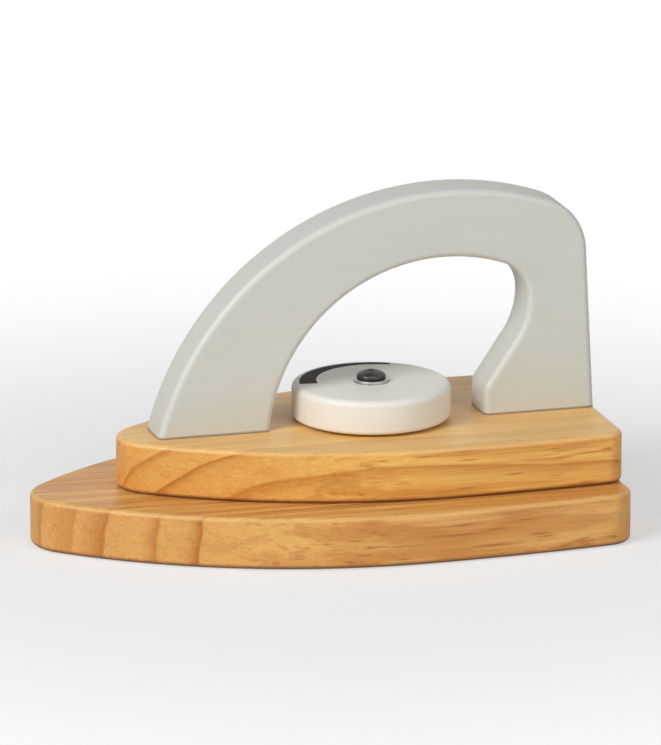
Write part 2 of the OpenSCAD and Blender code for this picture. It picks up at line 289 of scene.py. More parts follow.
def discard(thing):
    """Remove an object and its mesh."""
    mesh = thing.data
    bpy.data.objects.remove(thing)
    bpy.data.meshes.remove(mesh)


def tidy_mesh(mesh):
    """Weld the mesh and turn its faces outwards."""
    work = bmesh.new()
    work.from_mesh(mesh)
    bmesh.ops.remove_doubles(work, verts=work.verts, dist=FINE_WELD)
    bmesh.ops.recalc_face_normals(work, faces=work.faces)
    work.to_mesh(mesh)
    work.free()


def through_tree(name, mesh, tree, inputs):
    """Plain mesh that a tree makes from a mesh."""
    seed = put(name + "_seed", mesh)
    modifier = seed.modifiers.new(tree.name, "NODES")
    modifier.node_group = tree
    for item in tree.interface.items_tree:
        if item.in_out == "INPUT" and item.name in inputs:
            modifier[item.identifier] = inputs[item.name]
    made = evaluated(seed)
    discard(seed)
    made.name = name
    tidy_mesh(made)
    return made


print("finished meshes weld points closer than %.3f mm" % (FINE_WELD / MM))

# %% From a loop of points to a finished piece
def grow(name, points, tree, inputs, place):
    """Mesh that a tree makes from a loop of flat points in millimetres, moved to its place."""
    loop = bpy.data.meshes.new(name + "_loop")
    last = len(points)
    loop.from_pydata([(x * MM, y * MM, 0) for x, y in points], [(i, (i + 1) % last) for i in range(last)], [])
    mesh = through_tree(name, loop, tree, inputs)
    mesh.transform(place)
    return mesh


def piece(name, mesh, body, slot, *nodes):
    """Finished object that rides on a body and stands for some nodes, whose frame parts it hides. The slot is
    not used.
    """
    made = put(name, mesh)
    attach(made, body)
    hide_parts(*nodes)
    print("%s: %d faces" % (name, len(mesh.polygons)))


print("mesh helpers ready")

# %% [markdown]
# ## Finishes
# Every finish is one Principled shader fed by patterns. Pictures wrapped round the pieces would show seams,
# but a pattern is worked out in space, so it runs on from a face into a side as real grain does. Patterns
# read Object coordinates, which here are the frame's own metres. They are turned into millimetres once, so
# every size below is a real size, and a scale is how often a pattern repeats in a millimetre.

# %% Helpers for finishes: colours and patterns
def srgb(red, green, blue):
    """Colour as it is read off a screen, 0 to 255, as the linear colour that a shader wants."""
    def linear(level):
        share = level / 255
        return share / 12.92 if share <= 0.04045 else ((share + 0.055) / 1.055) ** 2.4
    return (linear(red), linear(green), linear(blue), 1.0)


def finish(name):
    """New material with its node tree, its shader and the surface's place in millimetres."""
    material = bpy.data.materials.new(name)
    material.use_nodes = True
    tree = material.node_tree
    mm = vector(tree, "SCALE", add(tree, "ShaderNodeTexCoord").outputs["Object"], 1 / MM)
    return material, tree, tree.nodes["Principled BSDF"], mm


def stretched(tree, mm, scale, drift=(0, 0, 0)):
    """Place with its own scale along each axis, so that a pattern can run along the grain."""
    return vector(tree, "MULTIPLY_ADD", mm, scale, drift)


def noise(tree, place, scale=1.0, detail=2.0, rough=0.5):
    """Grey level of a noise pattern, about 0.5."""
    return add(tree, "ShaderNodeTexNoise", {"Vector": place, "Scale": scale, "Detail": detail,
                                            "Roughness": rough}).outputs[0]


def grain(tree, mm, drift, along, across, detail, rough):
    """Noise that is drawn out along the length of a board."""
    return noise(tree, stretched(tree, mm, (along, across, across), drift), 1.0, detail, rough)


def blend(tree, amount, under, over, mode="MIX"):
    """One colour over another by an amount."""
    return add(tree, "ShaderNodeMix", {0: amount, 6: under, 7: over}, data_type="RGBA",
               blend_type=mode).outputs[2]


print("colour helpers ready")

# %% [markdown]
# Wear and painted shade follow the shape: hands rub rounded edges, and a painted shade darkens where one piece
# stands on another.
# So a finish also reads which way the surface faces and how high it is. Fine relief is left to Bump nodes,
# with their depth in millimetres.

# %% Helpers for finishes: wear, painted shade and relief
def facing(tree, axis):
    """How squarely the surface faces along an axis, from -1 to 1."""
    return xyz(tree, add(tree, "ShaderNodeTexCoord").outputs["Normal"])[axis]


def round_edges(tree, axis):
    """1 on the rounded edges of a piece and 0 on its flat faces and straight sides."""
    lean = facing(tree, axis)
    square = calc(tree, "MULTIPLY", lean, lean)
    return product(tree, square, calc(tree, "SUBTRACT", 1, square), 4)


def painted_shade_line(tree, mm, base_z, pattern, ragged, reach, full, most):
    """Painted shade above a height: most of it up to full millimetres, none past reach, with a ragged edge."""
    above = calc(tree, "SUBTRACT", xyz(tree, mm)["Z"], base_z)
    return span(tree, calc(tree, "MULTIPLY_ADD", pattern, ragged, above), reach, full, 0.0, most)


def relief(tree, *layers):
    """Normal tilted by patterns, each given with the depth in millimetres that a level of 1 stands for."""
    normal = None
    for pattern, depth in layers:
        sockets = {"Height": pattern, "Distance": depth * MM, "Strength": 1.0}
        if normal is not None:
            sockets["Normal"] = normal
        normal = add(tree, "ShaderNodeBump", sockets).outputs[0]
    return normal


def feed(tree, shader, colour, rough, normal):
    """Join the patterns to the shader."""
    for socket, source in (("Base Color", colour), ("Roughness", rough), ("Normal", normal)):
        tree.links.new(source, shader.inputs[socket])


print("wear helpers ready")

# %% [markdown]
# Pine is built up by the tree in yearly rings about a pith: a wide pale band in spring, then a narrow amber
# band that ends sharply. A board is a cut through that cylinder, so the finish keeps the cylinder: it
# measures each point's distance from a pith line and turns it into a ring. A stretched noise alone could pass
# for grain on one face, but it wouldn't agree with the next. Rings give straight lines along a side, long
# flames on a face and arcs across an end, all from one pattern.

# %% Rings of a tree
SWAY = 9.0
SEASONS = ((0.06, 0.0), (0.5, 0.07), (0.72, 0.3), (0.88, 0.8), (0.94, 1.0), (0.98, 0.75))
WINTER = 0.2


def from_pith(tree, mm, pith, tilt, drift):
    """Distance in millimetres from a pith line that runs along the board, tilts a little and sways."""
    wander = add(tree, "ShaderNodeTexNoise", {"Vector": stretched(tree, mm, (0.014, 0.035, 0.035), drift),
                                              "Scale": 1.0, "Detail": 2.0}).outputs["Color"]
    sway = vector(tree, "MULTIPLY_ADD", wander, (0.0, SWAY, SWAY), (0.0, -SWAY / 2, -SWAY / 2))
    away = vector(tree, "SUBTRACT", vector(tree, "ADD", mm, sway), pith)
    turned = add(tree, "ShaderNodeVectorRotate", {"Vector": away, "Rotation": tilt},
                 rotation_type="EULER_XYZ").outputs[0]
    return vector(tree, "LENGTH", vector(tree, "MULTIPLY", turned, (0.0, 1.0, 1.0)))


def yearly_rings(tree, distance, ring_mm):
    """How much late wood there is at a distance from the pith, from 0 to 1."""
    years = calc(tree, "DIVIDE", distance, ring_mm)
    uneven = add(tree, "ShaderNodeTexNoise", {"W": years, "Scale": 0.9, "Detail": 1.0},
                 noise_dimensions="1D").outputs[0]
    age = calc(tree, "MULTIPLY_ADD", uneven, 1.3, years)
    late = add(tree, "ShaderNodeValToRGB", {0: calc(tree, "FRACT", age)})
    ramp = late.color_ramp
    ramp.interpolation = "B_SPLINE"
    for element, spot in zip(ramp.elements, (0.0, 1.0)):
        element.position, element.color = spot, (WINTER, WINTER, WINTER, 1)
    for spot, level in SEASONS:
        ramp.elements.new(spot).color = (level, level, level, 1)
    year = add(tree, "ShaderNodeTexWhiteNoise", {"W": calc(tree, "FLOOR", age)},
               noise_dimensions="1D").outputs[0]
    return calc(tree, "MULTIPLY", late.outputs[0], span(tree, year, 0, 1, 0.45, 1.0, "LINEAR"))


print("rings of about", len(SEASONS) + 2, "tones")

# %% [markdown]
# Between the rings there is smaller drawing along the grain: soft streaks, thin veins and short flecks of
# resin. All of it fades where the board's end cuts across the grain, as it does on the round noses.

# %% Streaks, veins and flecks of pine
def streaked(tree, mm, drift, across_grain, wood, pale, amber):
    """Wood with streaks and veins along the grain."""
    streak = span(tree, grain(tree, mm, drift, along=0.012, across=0.28, detail=3.0, rough=0.55), 0.4, 0.64)
    vein = span(tree, grain(tree, mm, drift, along=0.022, across=0.75, detail=3.0, rough=0.6), 0.53, 0.7)
    streak_depth = span(tree, across_grain, 0.1, 0.5, 0.75, 0.25)
    vein_depth = span(tree, across_grain, 0.1, 0.45, 0.6, 0.15)
    brown = tuple(0.75 * a + 0.25 * p for a, p in zip(amber, pale))
    wood = blend(tree, calc(tree, "MULTIPLY", streak, streak_depth), wood, brown)
    return blend(tree, calc(tree, "MULTIPLY", vein, vein_depth), wood, amber, "MULTIPLY")


def resin_flecks(tree, mm, drift, across_grain):
    """Short flecks, each in the middle of a long cell, and only in some of the cells."""
    cells = add(tree, "ShaderNodeTexVoronoi", {"Vector": stretched(tree, mm, (0.085, 1.15, 1.15), drift),
                                               "Scale": 1.0}).outputs
    chance = add(tree, "ShaderNodeSeparateColor", {0: cells["Color"]}).outputs[0]
    return product(tree, span(tree, cells["Distance"], 0.34, 0.12), span(tree, chance, 0.7, 0.86),
                   span(tree, across_grain, 0.1, 0.36, 1.0, 0.0))


print("streaks and flecks ready")

# %% [markdown]
# The boards are oiled and have been played with. Rounded edges are paler, partly as sanding wear and partly as
# a painted highlight, and the top plate's upper face is paler, partly as handling wear and partly as a painted
# sheen; the fine fibre still shows there. End grain drinks more oil and is darker, and a painted shade darkens
# each board's lower edge.

# %% Finish: oiled pine
# The second colour is the painted shade along each board's lower edge and in the seam.
RESIN, LOWER_EDGE_SHADE = srgb(150, 92, 38), srgb(96, 52, 14)
# The third amount sets how pale the rounded edges get, partly as wear and partly as a painted highlight.
FLECK_DEPTH, END_GRAIN, SANDED_AND_HIGHLIGHT = 0.55, 0.24, 0.55


def pine(name, pith, tilt, ring_mm, drift, pale, amber, rubbed, handled_and_sheen, shade_z):
    """Pine sawn about a pith line: its place across the board, its tilt, and the mean width of a ring.

    Rubbed is the colour of the paler edges, as sanding wear and as a painted highlight. The next amount is how
    far the upper face takes it too, as handling wear and as a painted sheen; the last is the height of the
    lower edge where a painted shade darkens the wood.
    """
    material, tree, shader, mm = finish(name)
    across_grain, facing_up = calc(tree, "ABSOLUTE", facing(tree, "X")), facing(tree, "Z")
    ring = yearly_rings(tree, from_pith(tree, mm, pith, tilt, drift), ring_mm)
    fibre = grain(tree, mm, drift, along=0.035, across=1.9, detail=4.0, rough=0.65)
    fleck = resin_flecks(tree, mm, drift, across_grain)

    wood = streaked(tree, mm, drift, across_grain, blend(tree, ring, pale, amber), pale, amber)
    wood = blend(tree, calc(tree, "MULTIPLY", fleck, FLECK_DEPTH), wood, RESIN)
    wood = blend(tree, span(tree, across_grain, 0.12, 0.5, 0.0, END_GRAIN), wood, amber, "MULTIPLY")
    # Paler rounded edges and a paler upper face: partly wear, partly a painted highlight on the edges and a
    # painted sheen on the face.
    sanded = calc(tree, "MULTIPLY", round_edges(tree, "Z"), SANDED_AND_HIGHLIGHT)
    worn_and_sheen = calc(tree, "MULTIPLY_ADD", span(tree, facing_up, 0.85, 1.0), handled_and_sheen, sanded)
    wood = blend(tree, worn_and_sheen, wood, rubbed)
    wood = vector(tree, "SCALE", wood, span(tree, fibre, 0.25, 0.75, 0.84, 1.1, "LINEAR"))
    # Painted shade: the wood is darkened just above the board's lower edge, on its rounded underside.
    lower_edge_shade = painted_shade_line(tree, mm, shade_z, fibre, ragged=0.5, reach=1.75, full=0.55, most=0.9)
    lower_edge_shade = calc(tree, "MULTIPLY", lower_edge_shade, span(tree, facing_up, -0.97, -0.8))
    wood = blend(tree, lower_edge_shade, wood, LOWER_EDGE_SHADE)

    rough = calc(tree, "MULTIPLY_ADD", ring, -0.06, span(tree, fibre, 0.2, 0.8, 0.4, 0.54, "LINEAR"))
    pits = calc(tree, "MULTIPLY", fleck, -1)
    feed(tree, shader, wood, rough, relief(tree, (ring, 0.035), (fibre, 0.03), (pits, 0.04)))
    shader.inputs["Specular IOR Level"].default_value = 0.4
    shader.inputs["Coat Weight"].default_value = 0.1
    shader.inputs["Coat Roughness"].default_value = 0.3
    return material


SOLE_PINE = pine("sole_pine", pith=(0, 64, 16), tilt=(0.0, 0.012, 0.03), ring_mm=6.4, drift=(3.1, 7.7, 1.9),
                 pale=srgb(236, 184, 106), amber=srgb(192, 116, 36), rubbed=srgb(236, 188, 116),
                 handled_and_sheen=0.0, shade_z=sole_low.z)
# The top plate's upper face is paler, as handling wear and as a painted sheen.
TOP_PINE = pine("top_pine", pith=(0, -46, -14), tilt=(0.0, -0.02, -0.025), ring_mm=7.2, drift=(9.4, 2.3, 6.6),
                pale=srgb(244, 190, 100), amber=srgb(198, 118, 30), rubbed=srgb(246, 206, 138),
                handled_and_sheen=0.55, shade_z=top_low.z)
print("pine:", len(SOLE_PINE.node_tree.nodes), "nodes each")

# %% [markdown]
# The handle and the dial are painted: a sprayed satin coat over sanded wood. One flat colour would look like
# plastic. Real paint has a fine orange-peel surface, a trace of the grain under it, a slightly thinner film
# on the rounded edges, and faint marks where hands and boxes have rubbed it, so each of these is a weak
# pattern of its own size. Where the handle meets the deck, a thin dark line of painted shade darkens the paint.

# %% Finish: satin paint
# The first colour is the painted shade at the handle's feet; INK is the printed wedge.
FOOT_SHADE, INK = srgb(104, 74, 44), srgb(34, 28, 26)


def satin_paint(name, colour, worn, edge_axis, drift, foot_z=None, print_on=None):
    """Sprayed satin paint; print_on gives how much ink covers it."""
    material, tree, shader, mm = finish(name)
    cloud = grain(tree, mm, drift, along=0.03, across=0.03, detail=3.0, rough=0.5)
    fine = grain(tree, mm, drift, along=0.04, across=1.3, detail=3.0, rough=0.6)
    scuff = grain(tree, mm, drift, along=0.35, across=0.35, detail=5.0, rough=0.7)
    scuff = span(tree, scuff, 0.6, 0.74)
    level = calc(tree, "ADD", span(tree, cloud, 0.25, 0.75, 0.965, 1.02, "LINEAR"),
                 span(tree, fine, 0.3, 0.7, -0.012, 0.012, "LINEAR"))
    coat = vector(tree, "SCALE", colour[:3], level)
    thin = calc(tree, "MULTIPLY", round_edges(tree, edge_axis), calc(tree, "MULTIPLY_ADD", scuff, 0.3, 0.12))
    coat = blend(tree, thin, coat, worn)
    rough = calc(tree, "MULTIPLY_ADD", scuff, 0.08, span(tree, cloud, 0.3, 0.7, 0.4, 0.5, "LINEAR"))
    # Painted shade: a dark line on the paint just above foot_z, where the handle's feet meet the deck.
    if foot_z is not None:
        foot_shade = painted_shade_line(tree, mm, foot_z, fine, ragged=0.4, reach=0.95, full=0.35, most=0.75)
        coat = blend(tree, foot_shade, coat, FOOT_SHADE)
    if print_on is not None:
        cover = print_on(tree, mm)
        coat = blend(tree, cover, coat, INK)
        rough = calc(tree, "MULTIPLY_ADD", cover, 0.35, rough)
    peel = noise(tree, mm, 1.1, 2.0, 0.5)
    feed(tree, shader, coat, rough, relief(tree, (peel, 0.012), (fine, 0.012)))
    return material


GREY_PAINT = satin_paint("grey_paint", colour=srgb(209, 210, 201), worn=srgb(226, 227, 221), edge_axis="Y",
                         drift=(1.7, 4.2, 8.8), foot_z=DECK)
print("grey paint:", len(GREY_PAINT.node_tree.nodes), "nodes")

# %% [markdown]
# The dial has a plain dark wedge printed on its face, as heat dials do: an arc that follows the rim and
# grows wider from one end to the other. A thin sheet of geometry could carry it, but would float over the
# paint. So it is drawn in the finish, from the angle and the distance about the dial's axis, and turns with
# the dial.

# %% Finish: cream paint with a printed wedge
THIN_END, WIDE_END = math.radians(58), math.radians(173)
WEDGE_OUTER, WEDGE_THIN, WEDGE_WIDE = 17.25, 15.7, 12.8


def about_axis(tree, mm, axis_x):
    """Place about an upright axis, in its parts, and the distance from the axis."""
    centred = vector(tree, "SUBTRACT", mm, (axis_x, 0, 0))
    return xyz(tree, centred), vector(tree, "LENGTH", vector(tree, "MULTIPLY", centred, (1.0, 1.0, 0.0)))


def wedge_print(tree, mm):
    """How much ink there is, from 0 to 1."""
    at, radius = about_axis(tree, mm, DIAL_X)
    angle = calc(tree, "ARCTAN2", at["Y"], at["X"])
    inner = span(tree, angle, THIN_END, WIDE_END, WEDGE_THIN, WEDGE_WIDE, "LINEAR")
    ragged = calc(tree, "MULTIPLY_ADD", noise(tree, mm, 2.2, 3.0), 0.2, -0.1)
    place = calc(tree, "ADD", radius, ragged)
    band = calc(tree, "MULTIPLY", span(tree, calc(tree, "SUBTRACT", place, inner), -0.06, 0.06),
                span(tree, place, WEDGE_OUTER, WEDGE_OUTER - 0.15))
    ends = calc(tree, "MULTIPLY", span(tree, angle, THIN_END - 0.008, THIN_END + 0.008),
                span(tree, angle, WIDE_END + 0.006, WIDE_END - 0.006))
    face_z = DIAL_Z + DIAL_TALL
    on_face = span(tree, at["Z"], face_z - 0.3, face_z - 0.2)
    patchy = span(tree, noise(tree, mm, 5.0, 3.0), 0.2, 0.5, 0.86, 1.0)
    return product(tree, band, ends, on_face, patchy)


CREAM_PAINT = satin_paint("cream_paint", colour=srgb(238, 234, 225), worn=srgb(248, 243, 234), edge_axis="Z",
                          drift=(6.1, 0.4, 3.3), print_on=wedge_print)
CREAM_PAINT.node_tree.nodes["Principled BSDF"].inputs["Specular IOR Level"].default_value = 0.25
print("cream paint:", len(CREAM_PAINT.node_tree.nodes), "nodes")

# %% [markdown]
# Metals differ by colour, roughness and tooling. A blackened screw is dark and dull with bright rubbed
# edges, zinc plating is pale and cloudy, and brass is warm. One recipe makes all three: turning marks about
# the axis, a cloudy plating, and high spots that are rubbed where the surface slopes, so that no wear has to
# be painted by hand.

# %% Finish: metals
def metal(name, colour, rubbed, rough, rub, axis_x=DIAL_X):
    """Turned metal with marks about an upright axis."""
    material, tree, shader, mm = finish(name)
    radius = about_axis(tree, mm, axis_x)[1]
    marks = add(tree, "ShaderNodeTexNoise", {"W": radius, "Scale": 7.0, "Detail": 2.0},
                noise_dimensions="1D").outputs[0]
    cloud = noise(tree, mm, 0.9, 4.0, 0.6)
    plating = blend(tree, span(tree, cloud, 0.3, 0.7, 0.0, 0.35), colour, rubbed)
    worn = product(tree, round_edges(tree, "Z"), rub, span(tree, cloud, 0.35, 0.65))
    dull = calc(tree, "MULTIPLY_ADD", cloud, 0.24, rough - 0.12)
    feed(tree, shader, blend(tree, worn, plating, rubbed), dull, relief(tree, (marks, 0.01)))
    shader.inputs["Metallic"].default_value = 1.0
    return material


def zinc_plate(name, axis_x):
    """Zinc plating on a piece that was turned about its own axis."""
    return metal(name, srgb(160, 160, 157), srgb(196, 196, 193), rough=0.42, rub=0.5, axis_x=axis_x)


BLACK_STEEL = metal("black_steel", srgb(58, 54, 52), srgb(96, 92, 90), rough=0.42, rub=0.6)
ZINC = zinc_plate("zinc", DIAL_X)
BRASS = metal("brass", srgb(204, 172, 104), srgb(224, 198, 140), rough=0.34, rub=0.5)
print("metals:", [m.name for m in (BLACK_STEEL, ZINC, BRASS)])

# %% [markdown]
# Dowels are beech: a dense pale wood with short dark flecks and hardly any rings, so stretched noise and cells
# are enough here. Their grain runs upright. The closed toy hides them, but a library part may be taken apart.

# %% Finish: beech
def beech():
    """Plain beech."""
    material, tree, shader, mm = finish("beech")
    fibre = noise(tree, stretched(tree, mm, (2.2, 2.2, 0.06)), 1.0, 4.0, 0.6)
    cells = add(tree, "ShaderNodeTexVoronoi", {"Vector": stretched(tree, mm, (1.6, 1.6, 0.4)), "Scale": 1.0})
    fleck = span(tree, cells.outputs["Distance"], 0.3, 0.1)
    wood = blend(tree, span(tree, fibre, 0.3, 0.7), srgb(222, 188, 146), srgb(204, 164, 120))
    wood = blend(tree, calc(tree, "MULTIPLY", fleck, 0.5), wood, srgb(160, 112, 74))
    feed(tree, shader, wood, span(tree, fibre, 0.2, 0.8, 0.55, 0.7), relief(tree, (fibre, 0.03)))
    return material


BEECH = beech()
print("beech:", len(BEECH.node_tree.nodes), "nodes")

# %% [markdown]
# ## Drilling
# A wooden toy is drilled before it is joined: blind holes for the dowels, a countersunk hole for each handle
# screw, and a pilot hole for the dial's screw. A hole that ends inside a board can't be drawn into its outline,
# so a drill is turned on the lathe and a Boolean takes it out of the board.

# %% Lathe and Boolean
CRISP = math.radians(32)


def turn(name, section, base_z, steps, material, axis_x=DIAL_X):
    """Section of radii and heights turned about an upright axis, standing at a height."""
    return grow(name, section, TURNED_PIECE, {"Steps": steps, "Crisp angle": CRISP, "Finish": material},
                Matrix.Translation((axis_x * MM, 0, base_z * MM)))


def cut(mesh, cutter_mesh):
    """Mesh with the cutter taken out of it."""
    name = mesh.name
    body, cutter = put("cut_body", mesh), put("cutter", cutter_mesh)
    boolean = body.modifiers.new("cut", "BOOLEAN")
    boolean.operation, boolean.object, boolean.solver = "DIFFERENCE", cutter, "EXACT"
    result = evaluated(body)
    discard(body)
    discard(cutter)
    result.name = name
    return result


print("lathe and Boolean ready")

# %% [markdown]
# Each drill gets its place from the frame's own fastener. It is a hair wider, for glue, and a little longer,
# so that the fastener never jams at the bottom of its hole.

# %% Drills for the hidden fasteners
DOWELS = ("front_plate_dowel", "rear_plate_dowel")
HANDLE_SCREWS = ("front_handle_screw", "rear_handle_screw")
SCREW_R = 2.0
GLUE_ROOM, END_ROOM, OVER = 0.05, 0.5, 1.0
DRILL_STEPS = 64


def straight_drill(name, radius, base_z, tall, material, axis_x):
    """Drill with flat ends."""
    section = [(0, 0), (radius, 0), (radius, tall), (0, tall)]
    return turn(name + "_drill", section, base_z, DRILL_STEPS, material, axis_x)


def dowel_drill(node, material):
    """Drill for a dowel, past both its ends."""
    axis_x, radius, base_z, tall = round_mm(node)
    return straight_drill(node, radius + GLUE_ROOM, base_z - END_ROOM, tall + 2 * END_ROOM, material, axis_x)


def handle_screw_drill(node, material):
    """Drill for a screw driven from below, with its countersink."""
    axis_x, radius, base_z, tall = round_mm(node)
    head_r, shank_r, end = radius + GLUE_ROOM, SCREW_R + GLUE_ROOM, tall + END_ROOM
    section = [(0, -OVER), (head_r, -OVER), (head_r, 0),
               (shank_r, head_r - shank_r), (shank_r, end), (0, end)]
    return turn(node + "_drill", section, base_z, DRILL_STEPS, material, axis_x)


def dial_screw_drill(material):
    """Drill for the dial's screw, from above."""
    axis_x, _, base_z, _ = round_mm("dial_screw")
    start = base_z - END_ROOM
    return straight_drill("dial_screw", SCREW_R + GLUE_ROOM, start, DECK + OVER - start, material, axis_x)


def drilled(mesh, *drills):
    """Board with each drill taken out of it, welded and facing outwards."""
    for drill in drills:
        mesh = cut(mesh, drill)
    tidy_mesh(mesh)
    print("%s: %d holes" % (mesh.name, len(drills)))
    return mesh


print("drills for", DOWELS + HANDLE_SCREWS)

# %% [markdown]
# ## The two plates
# Seen from above, a plate is the shape of a flat iron: a small round nose, two long bowed sides, the widest
# place a little behind the middle, sides that draw in towards the back, and soft back corners. A free curve
# could be dragged to that look. Four arcs a side are chosen, because their radii can be written down, and
# because each is tangent to the next, so no corner shows where they meet.

# %% Plate outlines
def arc(centre, radius, start, end, count):
    """Points on a circle between two angles in degrees."""
    turns = [math.radians(start + (end - start) * i / count) for i in range(count + 1)]
    return [(centre[0] + radius * math.cos(t), centre[1] + radius * math.sin(t)) for t in turns]


def plate_outline(low, high, taper, widest, nose_r, corner_r):
    """Outline of a plate; widest is how far before the back edge its widest place lies."""
    half, back_x = high.y, high.x
    wide_x, nose_x = back_x - widest, low.x + nose_r
    run = wide_x - nose_x
    side_r = (run ** 2 + half ** 2 - nose_r ** 2) / (2 * (half - nose_r))
    nose_turn = math.degrees(math.atan2(side_r - half, run))
    rear_r = (widest ** 2 + taper ** 2) / (2 * taper)
    corner_run = widest - corner_r
    corner_y = half - rear_r + math.sqrt((rear_r - corner_r) ** 2 - corner_run ** 2)
    corner_turn = math.degrees(math.atan2(corner_y - half + rear_r, corner_run))
    side = (arc((back_x - corner_r, corner_y), corner_r, 0, corner_turn, 24)
            + arc((wide_x, half - rear_r), rear_r, corner_turn, 90, 24)[1:]
            + arc((wide_x, half - side_r), side_r, 90, 180 - nose_turn, 64)[1:]
            + arc((nose_x, 0), nose_r, 180 - nose_turn, 180, 32)[1:])
    return side + [(x, -y) for x, y in reversed(side[:-1])]


sole_outline = plate_outline(sole_low, sole_high, taper=3.5, widest=53, nose_r=12, corner_r=7)
top_outline = plate_outline(top_low, top_high, taper=2, widest=43, nose_r=10, corner_r=5)
print("plate outlines:", len(sole_outline), "points each")

# %% [markdown]
# Both plates are the same kind of board, so one function makes them, between the heights that the frame gives.
# The dowels go into both. Only the top plate is drilled for the screws, which end above the sole.

# %% Saw, round over and drill the plates
EDGE_STEPS, PLATE_EDGE_R = 8, 1.25


def board(name, outline, thickness, edge_r, material, place):
    """Board with rounded edges, from an outline in millimetres."""
    return grow(name, outline, ROUNDED_BOARD, {"Thickness": thickness * MM, "Edge radius": edge_r * MM,
                                               "Edge steps": EDGE_STEPS, "Finish": material}, place)


def plate(name, low, high, outline, material):
    """Board that lies flat between two heights."""
    place = Matrix.Translation((0, 0, low.z * MM))
    return board(name, outline, high.z - low.z, PLATE_EDGE_R, material, place)


sole_mesh = drilled(plate("sole_board", sole_low, sole_high, sole_outline, SOLE_PINE),
                    *[dowel_drill(node, SOLE_PINE) for node in DOWELS])
top_mesh = drilled(plate("top_board", top_low, top_high, top_outline, TOP_PINE),
                   *[dowel_drill(node, TOP_PINE) for node in DOWELS],
                   *[handle_screw_drill(node, TOP_PINE) for node in HANDLE_SCREWS],
                   dial_screw_drill(TOP_PINE))
piece("sole_board", sole_mesh, "iron_body", "pine", "sole_plate")
piece("top_board", top_mesh, "iron_body", "pine", "top_plate")

# %% [markdown]
# ## The handle
# The handle is a board too, standing on edge: a long sweep from the front foot over the top, a round rear
# corner, a rear edge that leans forward, and an opening like a drop that stays open between the feet. Its
# length, height and thickness are the frame's. Radii and angles are set here.

# %% Sizes of the handle
HANDLE_HEIGHT = handle_high.z - DECK
SWEEP_R, CORNER_R, LEAN = 74.5, 14, math.radians(3)
FOOT = 27.5
GAP_FRONT, GAP_REAR = handle_low.x + FOOT, handle_high.x - FOOT
GRIP, LEG, OPENING_R, END_R, REAR_R = 16.5, 15.25, 43.5, 9, 18
SLANT, BEND_R, OVERRUN = math.radians(34), 5, 12
rear_up = Vector((-math.sin(LEAN), math.cos(LEAN)))
rear_out = Vector((math.cos(LEAN), math.sin(LEAN)))
rear_foot = Vector((handle_high.x, 0))
print("handle: %.1f mm tall over the deck, feet %.1f mm long" % (HANDLE_HEIGHT, FOOT))

# %% [markdown]
# A maker would draw this arch with a compass, and so does this cell: the centre of each arc follows from the
# arc before it. A free curve would be quicker to drag, but arcs that touch stay smooth when a number changes.

# %% Handle outline
def inside_rear(distance, centre, reach):
    """Centre of an arc at a distance inside the rear edge and at a reach from another centre."""
    base = rear_foot - distance * rear_out
    along, off = (centre - base).dot(rear_up), (centre - base).dot(rear_out)
    return base + (along + math.sqrt(reach ** 2 - off ** 2)) * rear_up


def bearing(start, end):
    """Direction from one point to another, in degrees."""
    return math.degrees(math.atan2(end.y - start.y, end.x - start.x))


def handle_outline():
    """Outline of the handle, drawn flat with the deck at height 0."""
    sweep_z = HANDLE_HEIGHT - SWEEP_R
    sweep = Vector((handle_low.x + math.sqrt(SWEEP_R ** 2 - sweep_z ** 2), sweep_z))
    corner = inside_rear(CORNER_R, sweep, SWEEP_R - CORNER_R)
    opening_z = HANDLE_HEIGHT - GRIP - OPENING_R
    opening = Vector((GAP_FRONT + math.sqrt(OPENING_R ** 2 - opening_z ** 2), opening_z))
    end = inside_rear(LEG + END_R, opening, OPENING_R - END_R)
    side = end - (REAR_R - END_R) * rear_out
    bend_x = GAP_REAR + BEND_R
    bend_z = side.y - (REAR_R + BEND_R - (bend_x - side.x) * math.cos(SLANT)) / math.sin(SLANT)
    lean, slant = math.degrees(LEAN), math.degrees(SLANT)
    sweep_end = 180 + math.degrees(math.asin(sweep_z / SWEEP_R))
    opening_start = 180 + math.degrees(math.asin(opening_z / OPENING_R))
    return ([(handle_high.x, -OVERRUN), (handle_high.x, 0)]
            + arc(corner, CORNER_R, lean, bearing(sweep, corner), 32)
            + arc(sweep, SWEEP_R, bearing(sweep, corner), sweep_end, 110)[1:]
            + [(handle_low.x, -OVERRUN), (GAP_FRONT, -OVERRUN)]
            + arc(opening, OPENING_R, opening_start, bearing(opening, end), 80)
            + arc(end, END_R, bearing(opening, end), lean, 28)[1:]
            + arc(side, REAR_R, lean, -slant, 24)[1:]
            + arc((bend_x, bend_z), BEND_R, 180 - slant, 180, 14)
            + [(GAP_REAR, -OVERRUN)])


print("handle outline:", len(handle_outline()), "points")

# %% [markdown]
# The tree of the plates rounds the edges of this board too, and then it is stood up. Its legs are drawn too
# long and sawn off at the deck, because a round-over that ran on under the feet would leave a gap round them.
# The real feet stand flat.

# %% Stand the handle up, saw off its legs and drill it
HANDLE_EDGE_R = 1.5


def saw_flat(mesh, height):
    """Cut away what lies below a height and close the cut."""
    work = bmesh.new()
    work.from_mesh(mesh)
    bmesh.ops.bisect_plane(work, geom=work.verts[:] + work.edges[:] + work.faces[:], dist=FINE_WELD / 2,
                           plane_co=(0, 0, height), plane_no=(0, 0, 1), clear_inner=True)
    rim = [edge for edge in work.edges if edge.is_boundary]
    for face in bmesh.ops.holes_fill(work, edges=rim)["faces"]:
        face.smooth = False
    bmesh.ops.recalc_face_normals(work, faces=work.faces)
    work.to_mesh(mesh)
    work.free()


